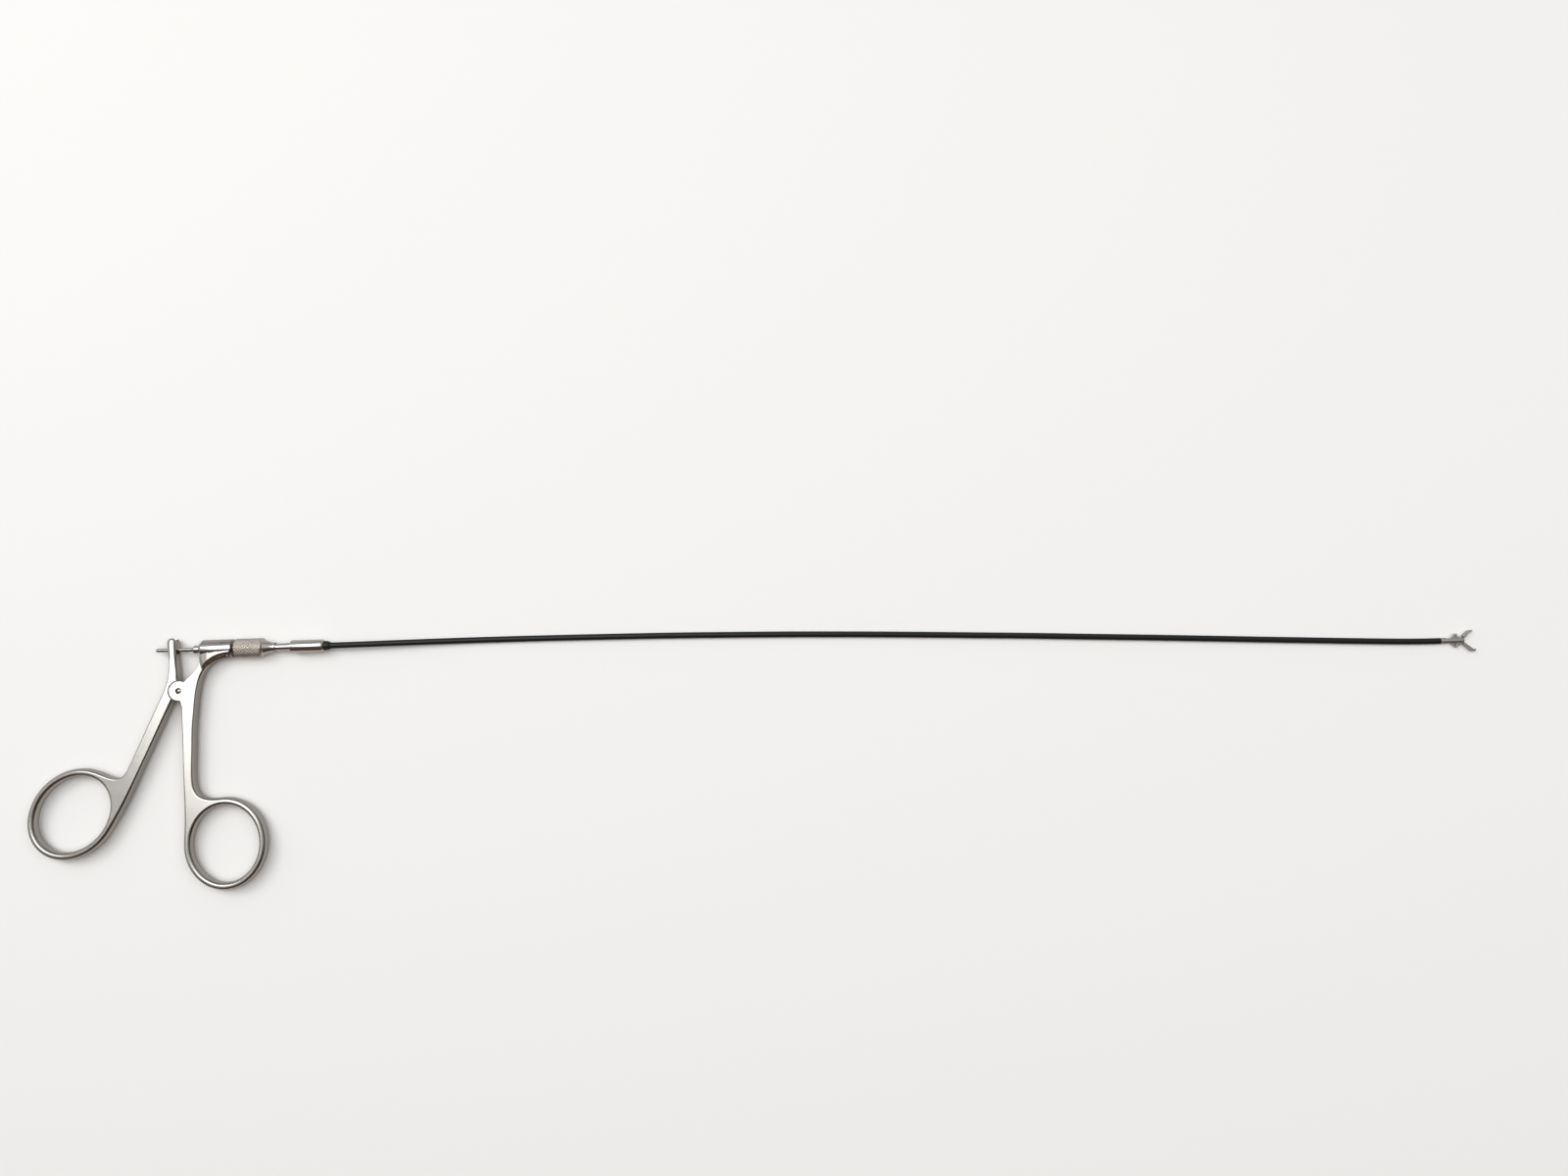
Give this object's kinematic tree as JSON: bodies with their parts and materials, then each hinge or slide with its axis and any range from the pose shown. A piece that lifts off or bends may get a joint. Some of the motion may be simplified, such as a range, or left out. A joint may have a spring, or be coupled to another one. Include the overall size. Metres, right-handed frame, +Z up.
{
  "type": "flexible grasping forceps",
  "caption": "Flexible grasping forceps: scissor-style finger rings pull a wire through a long thin bendable shaft and close the small hooked jaws at its tip; a knurled nut clamps the shaft.",
  "frame": {"origin": "middle of the box, on the table under the instrument as it lies flat", "axes": "+X along the shaft from the handle towards the jaws, +Y across the instrument away from the finger rings, +Z up from the table"},
  "size_m": [0.4578, 0.0788, 0.006],
  "materials": {
    "satin_steel": "satin",
    "polished_steel": "polished",
    "knurled_steel": "knurled",
    "jaw_steel": "satin",
    "black_jacket": "matt",
    "black_bead": "satin"
  },
  "bodies": {
    "fixed_half": {"fixed_handle": "satin_steel", "pivot_pin": "polished_steel", "key_pin": "polished_steel", "collet": "satin_steel", "neck_tube": "polished_steel", "ferrule": "polished_steel", "strain_bead": "black_bead", "shaft_sheath": "black_jacket", "shaft_coil": "satin_steel", "clevis": "satin_steel", "jaw_pin": "polished_steel"},
    "squeeze_lever": {"lever": "satin_steel"},
    "pull_set": {"pull_rod": "polished_steel", "rod_trunnion": "polished_steel", "pull_wire": "satin_steel", "wire_fork": "satin_steel", "link_pin": "polished_steel"},
    "clamp": {"clamp_nut": "knurled_steel"},
    "upper_jaw_set": {"upper_jaw": "jaw_steel", "upper_rivet": "polished_steel"},
    "lower_jaw_set": {"lower_jaw": "jaw_steel", "lower_rivet": "polished_steel"},
    "upper_link_arm": {"upper_link": "jaw_steel"},
    "lower_link_arm": {"lower_link": "jaw_steel"}
  },
  "joints": [
    {"name": "lever_pivot", "type": "hinge", "parent": "fixed_half", "child": "squeeze_lever", "pos_m": [-0.18209, 0.0227, 0.003], "axis": [0, 0, 1], "range_deg": [0, 6.48]},
    {"name": "rod_slide", "type": "slide", "parent": "fixed_half", "child": "pull_set", "axis": [1, 0, 0], "range_m": [-0.00147, 0]},
    {"name": "upper_jaw_hinge", "type": "hinge", "parent": "fixed_half", "child": "upper_jaw_set", "pos_m": [0.22461, 0.02652, 0.00097], "axis": [0, 0, 1], "range_deg": [-38, 0]},
    {"name": "lower_jaw_hinge", "type": "hinge", "parent": "fixed_half", "child": "lower_jaw_set", "pos_m": [0.22461, 0.02652, 0.00097], "axis": [0, 0, 1], "range_deg": [0, 38]},
    {"name": "upper_link_hinge", "type": "hinge", "parent": "pull_set", "child": "upper_link_arm", "pos_m": [0.22095, 0.02652, 0.00097], "axis": [0, 0, 1], "range_deg": [0, 34.26]},
    {"name": "lower_link_hinge", "type": "hinge", "parent": "pull_set", "child": "lower_link_arm", "pos_m": [0.22095, 0.02652, 0.00097], "axis": [0, 0, 1], "range_deg": [-34.26, 0]},
    {"name": "nut_turn", "type": "hinge", "parent": "fixed_half", "child": "clamp", "pos_m": [-0.15864, 0.0357, 0.003], "axis": [1, 0, 0], "range_deg": [0, 180]}
  ],
  "couplings": [
    {"joint": "rod_slide", "follows": "lever_pivot", "m_per_rad": -0.013},
    {"joint": "upper_jaw_hinge", "follows": "lever_pivot", "ratio": -5.8571},
    {"joint": "lower_jaw_hinge", "follows": "lever_pivot", "ratio": 5.8571},
    {"joint": "upper_link_hinge", "follows": "lever_pivot", "ratio": 5.2809},
    {"joint": "lower_link_hinge", "follows": "lever_pivot", "ratio": -5.2809}
  ]
}
